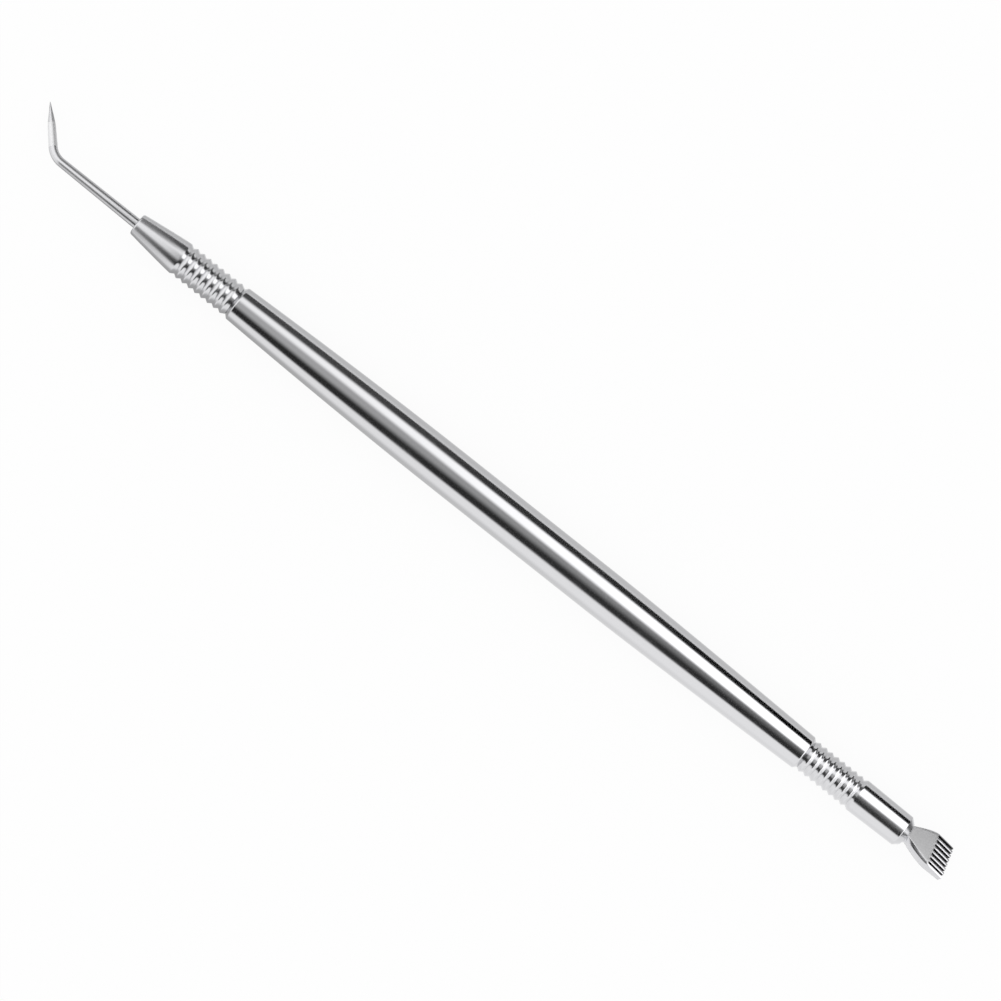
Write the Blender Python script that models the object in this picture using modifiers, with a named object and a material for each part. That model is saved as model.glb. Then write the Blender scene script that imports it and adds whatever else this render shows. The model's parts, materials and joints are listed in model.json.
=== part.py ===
"""A double-ended lash separator comb: a turned steel handle with a bent pick at one end and a comb at the other.

Lengths are in metres. The tool lies along X, with its comb towards +X. It rests on the widest part of its
barrel and on the point of its pick, and the origin is on the ground under the middle of its box.
"""

import math

import bmesh
import bpy
import numpy as np
from mathutils import Matrix, Vector

# Turning, fitting and cutting
SEGMENTS = 32
FIT_GAP = 0.0003
WELD_DISTANCE = 0.000001
CUTTER_OVERRUN = 0.001
SHARP_ANGLE = math.radians(28)
FLAT_ANGLE = math.radians(1)
CHAMFERED_ANGLE = math.radians(50)

# Handle barrel, a spindle with a straight middle
BARREL_LENGTH = 0.0986
BARREL_RADIUS = 0.00332
BARREL_END_RADIUS = 0.00258
BARREL_STRAIGHT_LENGTH = 0.0176
BARREL_CHAMFER = 0.00047
SWELL_POINTS = 7
SWELL_POWER = 2.0

# Spigots of both ferrules, which are pressed into the bores of the barrel
SPIGOT_RADIUS = 0.0013
SPIGOT_LENGTH = 0.008
SPIGOT_CHAMFER = 0.0002
BORE_RADIUS = SPIGOT_RADIUS + FIT_GAP

# Ribbed necks
RIB_COUNT = 8
NECK_PITCHES = RIB_COUNT + 0.5
RIB_DEPTH = 0.00047
RIB_CREST_WIDTH = 0.00014

# Ferrule at the pick end, with a nose that tapers to the needle
PICK_RIB_PITCH = 0.00108
PICK_NECK_RADIUS = 0.0025
PICK_COLLAR_LENGTH = 0.00762
PICK_NOSE_RADIUS = 0.0016
PICK_NOSE_ROUNDING = 0.0004
PICK_TAPER_POINTS = 6
PICK_TAPER_POWER = 1.1
PICK_ROUNDING_POINTS = 4

# Ferrule at the comb end, with a nearly straight collar
COMB_RIB_PITCH = 0.00104
COMB_NECK_RADIUS = 0.00245
COMB_COLLAR_LENGTH = 0.00841
COMB_COLLAR_RADIUS = 0.00244
COMB_COLLAR_END_RADIUS = 0.0023
COMB_COLLAR_CHAMFER = 0.00068

# Bent needle of the pick
NEEDLE_TANG_RADIUS = 0.0004
NEEDLE_TANG_LENGTH = 0.012
NEEDLE_SHOULDER = 0.0001
NEEDLE_ROOT_RADIUS = 0.00074
NEEDLE_BEND_RADIUS = 0.00063
NEEDLE_LEG_RADIUS = 0.00052
NEEDLE_POINT_RADIUS = 0.00005
NEEDLE_REACH = 0.0145
NEEDLE_CURVE_RADIUS = 0.003
NEEDLE_LEG_LENGTH = 0.0084
NEEDLE_LEG_SHARE = 0.62
NEEDLE_BEND_ANGLE = math.radians(51)
NEEDLE_CURVE_POINTS = 9
NEEDLE_ROUNDNESS = 6

# Stem of the comb, round, with a flat that carries on the face of the head
COMB_TANG_RADIUS = 0.001
COMB_TANG_LENGTH = 0.007
COMB_STEM_RADIUS = 0.00145
COMB_STEM_LENGTH = 0.0004
COMB_STEM_TAPER_LENGTH = 0.0022
COMB_STEM_TIP_RADIUS = 0.0005
STEM_FLAT_STEP = 0.00005

# Flared head of the comb, measured from the face of the collar
COMB_FACE_HEIGHT = 0.0012
COMB_BACK_DEPTH = 0.00062
HEAD_STANDOFF = 0.0001
HEAD_START = FIT_GAP + HEAD_STANDOFF
HEAD_ROOT_WIDTH = 0.0016
HEAD_WIDTH = 0.00496
HEAD_FLARE_LENGTH = 0.0038
HEAD_CHAMFER = 0.00024
FLARE_POINTS = 8
SLOT_COUNT = 7
SLOT_PITCH = 0.0007
SLOT_WIDTH = 0.00034
SLOT_ROOT_REACH = 0.0040
TIP_REACH = 0.00689
TIP_SLANT = math.radians(12.5)
TOOTH_BEVEL = math.radians(11.5)
TIP_RELIEF = math.radians(12)

# Places along the tool's axis, from the middle of the barrel
BARREL_END = BARREL_LENGTH / 2
PICK_NECK_LENGTH = NECK_PITCHES * PICK_RIB_PITCH
COMB_NECK_LENGTH = NECK_PITCHES * COMB_RIB_PITCH
PICK_NOSE_PLACE = BARREL_END + FIT_GAP + PICK_NECK_LENGTH + PICK_COLLAR_LENGTH
COMB_FACE_PLACE = BARREL_END + FIT_GAP + COMB_NECK_LENGTH + COMB_COLLAR_LENGTH

# The turned pieces lie on a facet, half a step round from the first point of their profile
HALF_FACET = math.pi / SEGMENTS
REST_HEIGHT = BARREL_RADIUS * math.cos(HALF_FACET)

POLISHED = {"color": (0.62, 0.62, 0.63, 1.0), "roughness": 0.12}
SATIN = {"color": (0.46, 0.46, 0.46, 1.0), "roughness": 0.38}


def clear_scene():
    """Remove what the new scene came with."""
    for old in list(bpy.data.objects):
        bpy.data.objects.remove(old)


def new_collection(name):
    """Add a collection to the scene."""
    collection = bpy.data.collections.new(name)
    bpy.context.scene.collection.children.link(collection)
    return collection


def steel(name, color, roughness):
    """Make a plain steel material."""
    material = bpy.data.materials.new(name)
    material.use_nodes = True
    shader = material.node_tree.nodes["Principled BSDF"]
    shader.inputs["Base Color"].default_value = color
    shader.inputs["Metallic"].default_value = 1.0
    shader.inputs["Roughness"].default_value = roughness
    return material


def place(data, name, collection):
    """Link data to the collection as a named object."""
    obj = bpy.data.objects.new(name, data)
    collection.objects.link(obj)
    return obj


def as_helper(obj):
    """Keep a cutter or a joining piece out of the model."""
    obj.hide_render = True
    obj.display_type = "WIRE"
    return obj


def evaluated_mesh(obj):
    """The mesh of an object with its modifiers applied and its loose caps welded."""
    graph = bpy.context.evaluated_depsgraph_get()
    mesh = bpy.data.meshes.new_from_object(obj.evaluated_get(graph))
    edit = bmesh.new()
    edit.from_mesh(mesh)
    bmesh.ops.remove_doubles(edit, verts=edit.verts, dist=WELD_DISTANCE)
    edit.to_mesh(mesh)
    edit.free()
    return mesh


def join_flats(mesh):
    """Make each flat side of a mesh one face."""
    edit = bmesh.new()
    edit.from_mesh(mesh)
    bmesh.ops.dissolve_limit(edit, angle_limit=FLAT_ANGLE, verts=edit.verts, edges=edit.edges)
    edit.to_mesh(mesh)
    edit.free()


def shade_round(mesh):
    """Shade a turned mesh smooth, with its real edges kept sharp."""
    mesh.shade_smooth()
    mesh.set_sharp_from_angle(angle=SHARP_ANGLE)


def turned(name, profile, collection):
    """Turn a profile of (x, radius) points about X. It runs towards -X on its outer side."""
    mesh = bpy.data.meshes.new(name)
    edges = [(index, index + 1) for index in range(len(profile) - 1)]
    mesh.from_pydata([(x, radius, 0) for x, radius in profile], edges, [])
    obj = place(mesh, name, collection)
    screw = obj.modifiers.new("turn", "SCREW")
    screw.axis = "X"
    screw.steps = screw.render_steps = SEGMENTS
    screw.use_merge_vertices = True
    screw.merge_threshold = WELD_DISTANCE
    obj.data = evaluated_mesh(obj)
    obj.modifiers.clear()
    obj.rotation_euler.x = HALF_FACET
    shade_round(obj.data)
    return obj


def cut(obj, helper, operation="DIFFERENCE"):
    """Cut the object with a helper, or join the helper to it."""
    boolean = obj.modifiers.new(helper.name, "BOOLEAN")
    boolean.operation = operation
    boolean.object = helper


def block(edit, low, high, turn):
    """Add a box between two corners to a bmesh, then move it by a matrix."""
    low, high = Vector(low), Vector(high)
    size = Matrix.Diagonal((*(high - low), 1))
    matrix = turn @ Matrix.Translation((low + high) / 2) @ size
    bmesh.ops.create_cube(edit, size=1, matrix=matrix)


def block_cutter(name, boxes, turn, collection):
    """Make one cutter from boxes, each given by its low and high corners."""
    edit = bmesh.new()
    for low, high in boxes:
        block(edit, low, high, turn)
    mesh = bpy.data.meshes.new(name)
    edit.to_mesh(mesh)
    edit.free()
    return as_helper(place(mesh, name, collection))


def barrel_outside():
    """The barrel's outer profile, from its comb end to its pick end."""
    straight = BARREL_STRAIGHT_LENGTH / 2
    run = BARREL_END - BARREL_CHAMFER - straight
    drop = BARREL_RADIUS - BARREL_END_RADIUS
    shares = [1 - step / SWELL_POINTS for step in range(SWELL_POINTS + 1)]
    side = [(straight + run * share, BARREL_RADIUS - drop * share**SWELL_POWER) for share in shares]
    end = [(BARREL_END, BARREL_END_RADIUS - BARREL_CHAMFER)]
    half = end + side
    return half + [(-x, radius) for x, radius in reversed(half)]


def make_barrel(collection):
    """The handle's barrel, bored at each end for a ferrule's spigot."""
    floor = BARREL_END - SPIGOT_LENGTH
    mouth = [(floor, 0), (floor, BORE_RADIUS), (BARREL_END, BORE_RADIUS)]
    other_mouth = [(-x, radius) for x, radius in reversed(mouth)]
    return turned("handle_barrel", mouth + barrel_outside() + other_mouth, collection)


def neck_outside(pitch, radius):
    """The ribs of a neck, from its collar to its shoulder, which stands off the barrel."""
    start = FIT_GAP + NECK_PITCHES * pitch
    flat = RIB_CREST_WIDTH / 2
    points = []
    for rib in range(1, RIB_COUNT + 1):
        crest = start - rib * pitch
        points += [
            (crest + pitch / 2, radius - RIB_DEPTH),
            (crest + flat, radius),
            (crest - flat, radius),
        ]
    return points + [(FIT_GAP, radius - RIB_DEPTH)]


def spigot_outside():
    """A ferrule's spigot, from its shoulder to the middle of its end."""
    end = FIT_GAP - SPIGOT_LENGTH
    return [
        (FIT_GAP, SPIGOT_RADIUS),
        (end + SPIGOT_CHAMFER, SPIGOT_RADIUS),
        (end, SPIGOT_RADIUS - SPIGOT_CHAMFER),
        (end, 0),
    ]


def blind_bore(mouth, radius, depth):
    """A bore's profile, from the middle of its floor to its mouth."""
    return [(mouth - depth, 0), (mouth - depth, radius), (mouth, radius)]


def pick_collar_outside():
    """The tapering collar, from its rounded nose to its widest place at the neck."""
    neck = FIT_GAP + PICK_NECK_LENGTH
    nose = neck + PICK_COLLAR_LENGTH
    centre = (nose - PICK_NOSE_ROUNDING, PICK_NOSE_RADIUS - PICK_NOSE_ROUNDING)
    points = []
    for step in range(PICK_ROUNDING_POINTS):
        angle = math.pi / 2 * step / PICK_ROUNDING_POINTS
        along, out = math.cos(angle), math.sin(angle)
        points.append((centre[0] + PICK_NOSE_ROUNDING * along, centre[1] + PICK_NOSE_ROUNDING * out))
    drop = PICK_NECK_RADIUS - PICK_NOSE_RADIUS
    for step in range(PICK_TAPER_POINTS + 1):
        share = 1 - step / PICK_TAPER_POINTS
        x = neck + (centre[0] - neck) * share
        points.append((x, PICK_NECK_RADIUS - drop * share**PICK_TAPER_POWER))
    return points


def comb_collar_outside():
    """The nearly straight collar, from its chamfered end to the neck."""
    neck = FIT_GAP + COMB_NECK_LENGTH
    end = neck + COMB_COLLAR_LENGTH
    return [
        (end, COMB_COLLAR_END_RADIUS - COMB_COLLAR_CHAMFER),
        (end - COMB_COLLAR_CHAMFER, COMB_COLLAR_END_RADIUS),
        (neck, COMB_COLLAR_RADIUS),
    ]


def make_pick_ferrule(collection):
    """The pick end's ferrule: tapering collar, ribbed neck and spigot, bored for the needle."""
    mouth = PICK_NOSE_PLACE - BARREL_END
    bore = blind_bore(mouth, NEEDLE_TANG_RADIUS + FIT_GAP, NEEDLE_TANG_LENGTH + FIT_GAP)
    ribs = neck_outside(PICK_RIB_PITCH, PICK_NECK_RADIUS)
    profile = bore + pick_collar_outside() + ribs + spigot_outside()
    ferrule = turned("pick_ferrule", profile, collection)
    ferrule.location.x = -BARREL_END
    ferrule.rotation_euler.z = math.pi
    return ferrule


def make_comb_ferrule(collection):
    """The comb end's ferrule: straight collar, ribbed neck and spigot, bored for the comb's tang."""
    mouth = COMB_FACE_PLACE - BARREL_END
    bore = blind_bore(mouth, COMB_TANG_RADIUS + FIT_GAP, COMB_TANG_LENGTH)
    ribs = neck_outside(COMB_RIB_PITCH, COMB_NECK_RADIUS)
    profile = bore + comb_collar_outside() + ribs + spigot_outside()
    ferrule = turned("comb_ferrule", profile, collection)
    ferrule.location.x = BARREL_END
    return ferrule


def needle_path():
    """The needle's middle line beyond its shoulder, as (x, y) points, going out towards -X."""
    tangent = NEEDLE_CURVE_RADIUS * math.tan(NEEDLE_BEND_ANGLE / 2)
    curve_start = NEEDLE_REACH - tangent
    points = [(-FIT_GAP - NEEDLE_SHOULDER, 0)]
    for step in range(NEEDLE_CURVE_POINTS):
        angle = NEEDLE_BEND_ANGLE * step / (NEEDLE_CURVE_POINTS - 1)
        along = curve_start + NEEDLE_CURVE_RADIUS * math.sin(angle)
        points.append((-along, NEEDLE_CURVE_RADIUS * (1 - math.cos(angle))))
    for share in (NEEDLE_LEG_SHARE, 1):
        run = NEEDLE_LEG_LENGTH * share
        x = -NEEDLE_REACH - run * math.cos(NEEDLE_BEND_ANGLE)
        points.append((x, run * math.sin(NEEDLE_BEND_ANGLE)))
    return points


def needle_radii(points):
    """The needle's radius at each point of its path: slim at the bend and sharp at the end."""
    steps = [math.dist(near, far) for near, far in zip(points, points[1:])]
    places = np.concatenate([[0], np.cumsum(steps)])
    stations = [places[0], places[1], places[-2], places[-1]]
    sizes = [NEEDLE_ROOT_RADIUS, NEEDLE_BEND_RADIUS, NEEDLE_LEG_RADIUS, NEEDLE_POINT_RADIUS]
    return np.interp(places, stations, sizes)


def make_needle(collection):
    """The pick's needle: a thin tang, a straight shank, one bend and a tapering leg."""
    path = needle_path()
    radii = list(needle_radii(path))
    tang = [(NEEDLE_TANG_LENGTH, 0), (-FIT_GAP, 0)]
    curve = bpy.data.curves.new("pick_needle", "CURVE")
    curve.dimensions = "3D"
    curve.bevel_depth = NEEDLE_ROOT_RADIUS
    curve.bevel_resolution = NEEDLE_ROUNDNESS
    curve.use_fill_caps = True
    spline = curve.splines.new("POLY")
    spline.points.add(len(tang) + len(path) - 1)
    sizes = [NEEDLE_TANG_RADIUS] * len(tang) + radii
    for point, (x, y), radius in zip(spline.points, tang + path, sizes):
        point.co = (x, y, 0, 1)
        point.radius = radius / NEEDLE_ROOT_RADIUS
    needle = place(curve, "pick_needle", collection)
    needle.location.x = -PICK_NOSE_PLACE
    return needle


def head_half_width(x):
    """Half the comb head's width at a distance from the collar's face."""
    share = min((x - HEAD_START) / HEAD_FLARE_LENGTH, 1)
    root, full = HEAD_ROOT_WIDTH / 2, HEAD_WIDTH / 2
    return root + (full - root) * (1 - (1 - share) ** 2)


def head_outline():
    """The comb head's outline, out along its +Y edge, across its slanted tips and back."""
    edge = [HEAD_START + HEAD_FLARE_LENGTH * step / FLARE_POINTS for step in range(FLARE_POINTS + 1)]
    near = [(x, head_half_width(x)) for x in edge]
    far = [(x, -y) for x, y in reversed(near)]
    slant = HEAD_WIDTH / 2 * math.tan(TIP_SLANT)
    tips = [(TIP_REACH - slant, HEAD_WIDTH / 2), (TIP_REACH + slant, -HEAD_WIDTH / 2)]
    return near + tips + far


def make_head(collection):
    """The comb head's plate, with its long edges chamfered."""
    outline = head_outline()
    curve = bpy.data.curves.new("comb_head", "CURVE")
    curve.dimensions = "2D"
    curve.fill_mode = "BOTH"
    curve.extrude = (COMB_FACE_HEIGHT + COMB_BACK_DEPTH) / 2
    spline = curve.splines.new("POLY")
    spline.points.add(len(outline) - 1)
    spline.use_cyclic_u = True
    for point, (x, y) in zip(spline.points, outline):
        point.co = (x, y, 0, 1)
    flat = place(curve, "comb_head", collection)
    mesh = evaluated_mesh(flat)
    bpy.data.objects.remove(flat)
    join_flats(mesh)
    mesh.transform(Matrix.Translation((0, 0, (COMB_FACE_HEIGHT - COMB_BACK_DEPTH) / 2)))
    head = place(mesh, "comb_blade", collection)
    bevel = head.modifiers.new("long edges", "BEVEL")
    bevel.width = HEAD_CHAMFER
    bevel.segments = 1
    bevel.limit_method = "ANGLE"
    bevel.angle_limit = CHAMFERED_ANGLE
    return head


def make_stem(cutters):
    """The comb's stem, round with a flat on top, and the tang that goes into the collar."""
    full = FIT_GAP + COMB_STEM_LENGTH
    profile = [
        (full + COMB_STEM_TAPER_LENGTH, 0),
        (full + COMB_STEM_TAPER_LENGTH, COMB_STEM_TIP_RADIUS),
        (full, COMB_STEM_RADIUS),
        (FIT_GAP, COMB_STEM_RADIUS),
        (FIT_GAP, COMB_TANG_RADIUS),
        (FIT_GAP - COMB_TANG_LENGTH, COMB_TANG_RADIUS),
        (FIT_GAP - COMB_TANG_LENGTH, 0),
    ]
    stem = as_helper(turned("comb_stem", profile, cutters))
    low = (HEAD_START, -COMB_STEM_RADIUS - CUTTER_OVERRUN, COMB_FACE_HEIGHT - STEM_FLAT_STEP)
    high = (TIP_REACH, COMB_STEM_RADIUS + CUTTER_OVERRUN, COMB_STEM_RADIUS + CUTTER_OVERRUN)
    cut(stem, block_cutter("stem_flat", [(low, high)], Matrix.Identity(4), cutters))
    return stem


def slot_boxes():
    """The corners of each slot between two teeth, from its slanted root to past the tips."""
    boxes = []
    for slot in range(SLOT_COUNT):
        y = (slot - (SLOT_COUNT - 1) / 2) * SLOT_PITCH
        root = SLOT_ROOT_REACH - y * math.tan(TIP_SLANT)
        low = (root, y - SLOT_WIDTH / 2, -COMB_BACK_DEPTH - CUTTER_OVERRUN)
        high = (TIP_REACH + HEAD_WIDTH, y + SLOT_WIDTH / 2, COMB_FACE_HEIGHT + CUTTER_OVERRUN)
        boxes.append((low, high))
    return boxes


def slanted(reach, tilt):
    """A place on the comb's face, turned to its slanted line and tilted down towards the tips."""
    place_on_face = Matrix.Translation((reach, 0, COMB_FACE_HEIGHT))
    return place_on_face @ Matrix.Rotation(TIP_SLANT, 4, "Z") @ Matrix.Rotation(tilt, 4, "Y")


def make_comb(collection, cutters):
    """The comb: a flared head with bevelled teeth, on a stem with a tang."""
    comb = make_head(collection)
    stem = make_stem(cutters)
    cut(comb, stem, "UNION")
    far, deep = TIP_REACH + CUTTER_OVERRUN, COMB_FACE_HEIGHT + COMB_BACK_DEPTH + CUTTER_OVERRUN
    bevel = [((-CUTTER_OVERRUN, -HEAD_WIDTH, 0), (far, HEAD_WIDTH, deep))]
    relief = [((0, -HEAD_WIDTH, -deep), (far, HEAD_WIDTH, deep))]
    level = Matrix.Identity(4)
    cut(comb, block_cutter("tooth_bevel", bevel, slanted(SLOT_ROOT_REACH, TOOTH_BEVEL), cutters))
    cut(comb, block_cutter("tip_relief", relief, slanted(TIP_REACH, TIP_RELIEF), cutters))
    cut(comb, block_cutter("slots", slot_boxes(), level, cutters))
    comb.location.x = COMB_FACE_PLACE
    for helper in cutters.objects:
        helper.location.x = COMB_FACE_PLACE
    return comb


def rest_roll():
    """How far the tool rolls about its axis before the needle's point meets the ground."""
    reach = NEEDLE_LEG_LENGTH * math.sin(NEEDLE_BEND_ANGLE)
    return math.asin(min((REST_HEIGHT - NEEDLE_POINT_RADIUS) / reach, 1))


def world_points(obj):
    """The points of an object's evaluated shape, in world space."""
    graph = bpy.context.evaluated_depsgraph_get()
    shape = obj.evaluated_get(graph)
    mesh = shape.to_mesh()
    points = [shape.matrix_world @ vertex.co for vertex in mesh.vertices]
    shape.to_mesh_clear()
    return points


def stand_on_origin(tool, parts):
    """Move the tool so that the origin is under the middle of its box."""
    bpy.context.view_layer.update()
    points = np.array([point for part in parts for point in world_points(part)])
    low, high = points.min(axis=0), points.max(axis=0)
    middle = (low + high) / 2
    tool.location = (-middle[0], -middle[1], -low[2])


def main():
    """Build the tool."""
    clear_scene()
    parts = new_collection("lash_separator_comb")
    cutters = new_collection("cutters")
    polished, satin = steel("polished_steel", **POLISHED), steel("satin_steel", **SATIN)
    tool = place(None, "tool_axis", parts)
    plane = place(None, "bend_plane", parts)
    plane.parent = tool
    plane.rotation_euler.x = -rest_roll()
    turned_parts = [make_barrel(parts), make_pick_ferrule(parts), make_comb_ferrule(parts)]
    comb = make_comb(parts, cutters)
    bent_parts = [make_needle(parts), comb]
    for part in turned_parts:
        part.parent = tool
        part.data.materials.append(polished)
    for part in bent_parts:
        part.parent = plane
        part.data.materials.append(satin if part is comb else polished)
    for helper in cutters.objects:
        helper.parent = plane
    stand_on_origin(tool, turned_parts + bent_parts)


main()
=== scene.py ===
"""Looks of a double-ended lash separator comb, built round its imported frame.

The tool is stainless steel: a turned spindle of a handle, a ribbed ferrule pressed into each end, a bent
needle at the rear and a flared comb with eight fine teeth at the front. It lies along X with its comb
towards +X. Everything is in metres, and each piece stands for the node in the same place in the frame.
"""

import json
import logging
import math
from collections.abc import Callable, Iterable
from dataclasses import dataclass
from enum import Enum, IntEnum

import bmesh
import bpy
from mathutils import Matrix, Vector


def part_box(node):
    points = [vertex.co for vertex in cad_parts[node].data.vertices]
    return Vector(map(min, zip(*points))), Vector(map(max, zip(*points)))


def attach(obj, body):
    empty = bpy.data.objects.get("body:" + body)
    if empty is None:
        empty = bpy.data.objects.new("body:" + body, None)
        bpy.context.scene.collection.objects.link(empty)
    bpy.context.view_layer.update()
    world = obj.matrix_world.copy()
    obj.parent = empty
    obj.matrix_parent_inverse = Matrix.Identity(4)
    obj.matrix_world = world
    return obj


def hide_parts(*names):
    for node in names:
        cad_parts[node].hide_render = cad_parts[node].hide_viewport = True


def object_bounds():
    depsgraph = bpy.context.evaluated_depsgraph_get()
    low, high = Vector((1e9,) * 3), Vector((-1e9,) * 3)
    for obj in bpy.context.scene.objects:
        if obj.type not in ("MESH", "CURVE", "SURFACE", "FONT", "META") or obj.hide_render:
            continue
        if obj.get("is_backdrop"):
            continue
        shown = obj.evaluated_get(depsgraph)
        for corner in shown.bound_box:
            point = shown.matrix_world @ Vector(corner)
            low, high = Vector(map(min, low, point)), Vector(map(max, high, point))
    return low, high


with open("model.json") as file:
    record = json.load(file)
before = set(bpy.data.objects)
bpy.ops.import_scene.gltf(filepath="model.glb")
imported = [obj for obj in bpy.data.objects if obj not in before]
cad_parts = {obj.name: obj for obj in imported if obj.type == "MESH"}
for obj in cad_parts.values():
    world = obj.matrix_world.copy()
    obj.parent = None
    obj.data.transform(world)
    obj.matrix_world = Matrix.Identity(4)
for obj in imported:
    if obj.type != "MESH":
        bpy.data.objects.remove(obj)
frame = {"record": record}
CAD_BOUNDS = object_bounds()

LOG = logging.getLogger("lash_comb")
MM = 0.001
WELD = 1e-7
PICTURE_PIXELS = 1001
FULL_TURN = 2 * math.pi
HALF_TURN = FULL_TURN / 2
QUARTER_TURN = FULL_TURN / 4
ALONG = Vector((1, 0, 0))


class Slot(Enum):
    """The record's material slots."""

    POLISHED = "polished_steel"
    SATIN = "satin_steel"


class Finish(IntEnum):
    """The comb's finishes, in the order of its materials."""

    BLASTED = 0
    GROUND = 1
    # The slots' finish, whose dark tint is painted shade
    SAWN_PAINTED_SHADE = 2


class End(Enum):
    """The two ends of the handle, as the direction in which each points along X."""

    PICK = -1
    COMB = 1


def linear(colour: str) -> tuple[float, float, float, float]:
    """Turn an sRGB hex colour to a linear one.

    Args:
        colour: The colour as "#rrggbb".

    Returns:
        Red, green, blue and an alpha of 1.
    """
    shares = [int(colour[start : start + 2], 16) / 255 for start in (1, 3, 5)]
    red, green, blue = (s / 12.92 if s <= 0.04045 else ((s + 0.055) / 1.055) ** 2.4 for s in shares)
    return (red, green, blue, 1.0)


def between(ends: tuple[float, float], share: float) -> float:
    """The value at a share of the way from the first of two ends to the second."""
    return ends[0] + (ends[1] - ends[0]) * share


def smooth(share: float) -> float:
    """Ease a share from 0 to 1, held at both ends."""
    share = min(max(share, 0.0), 1.0)
    return share * share * (3 - 2 * share)


def covered(place: float, edges: tuple[float, float], softness: tuple[float, float]) -> float:
    """How much a strip with two soft edges covers a place, from 0 to 1."""
    low, high = edges
    return smooth((place - low) / softness[0] + 0.5) * smooth((high - place) / softness[1] + 0.5)


def add_node(
    tree: bpy.types.NodeTree, kind: str, settings: dict | None = None, links: dict | None = None
) -> bpy.types.Node:
    """Add a node to a tree.

    Args:
        tree: The tree of a material or a world.
        kind: The node's type.
        settings: Values for its sockets, by name or number, and for its properties, by name after a dot.
        links: Sockets of other nodes that feed its inputs, by name or number.

    Returns:
        The node.
    """
    node = tree.nodes.new(kind)
    for key, value in (settings or {}).items():
        if isinstance(key, str) and key.startswith("."):
            setattr(node, key[1:], value)
        else:
            node.inputs[key].default_value = value
    for key, socket in (links or {}).items():
        tree.links.new(socket, node.inputs[key])
    return node


def add_object(edit: bmesh.types.BMesh, name: str) -> bpy.types.Object:
    """Put a bmesh in the scene as an object of its own.

    Args:
        edit: The bmesh, which is freed.
        name: The object's name.

    Returns:
        The object, at the origin.
    """
    mesh = bpy.data.meshes.new(name)
    edit.to_mesh(mesh)
    edit.free()
    made = bpy.data.objects.new(name, mesh)
    bpy.context.scene.collection.objects.link(made)
    return made


@dataclass(frozen=True)
class Tool:
    """Where the tool lies, as the frame gives it."""

    centre: Vector
    roll: float
    reach: float
    radius: float

    @classmethod
    def from_frame(cls) -> "Tool":
        """Read the tool's axis from its barrel and its roll from the mount on the comb's face.

        Returns:
            Where the tool lies.
        """
        low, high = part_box("handle_barrel")
        mount = next(m for m in frame["record"]["mounts"] if m["name"] == "comb_face")
        _, across, up = mount["axis"]
        return cls((low + high) / 2, math.atan2(across, up), (high.x - low.x) / 2, (high.z - low.z) / 2)

    @property
    def level(self) -> Matrix:
        """Matrix from a turned piece's own space to the world."""
        return Matrix.Translation(self.centre)

    @property
    def rolled(self) -> Matrix:
        """Matrix from the space of the bent needle and the comb to the world."""
        return self.level @ Matrix.Rotation(-self.roll, 4, "X")


def new_metal(name: str) -> tuple[bpy.types.Material, bpy.types.Node, bpy.types.NodeSocket]:
    """Add a bare metal.

    Args:
        name: The material's name.

    Returns:
        The material, its shader, and the place on the piece that its patterns read.
    """
    material = bpy.data.materials.new(name)
    material.use_nodes = True
    shader = material.node_tree.nodes["Principled BSDF"]
    shader.inputs["Metallic"].default_value = 1.0
    place = add_node(material.node_tree, "ShaderNodeTexCoord").outputs["Object"]
    return material, shader, place


def vary_gloss(
    tree: bpy.types.NodeTree,
    shader: bpy.types.Node,
    pattern: bpy.types.NodeSocket,
    found: tuple[float, float],
    roughness: tuple[float, float],
) -> None:
    """Let a pattern dull a metal in places.

    Args:
        tree: The material's tree.
        shader: Its shader.
        pattern: The pattern's value.
        found: The range that most of the pattern lies in.
        roughness: The roughness at the two ends of that range.
    """
    spread = {"From Min": found[0], "From Max": found[1], "To Min": roughness[0], "To Max": roughness[1]}
    dulled = add_node(tree, "ShaderNodeMapRange", spread, {"Value": pattern})
    tree.links.new(dulled.outputs["Result"], shader.inputs["Roughness"])


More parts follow.
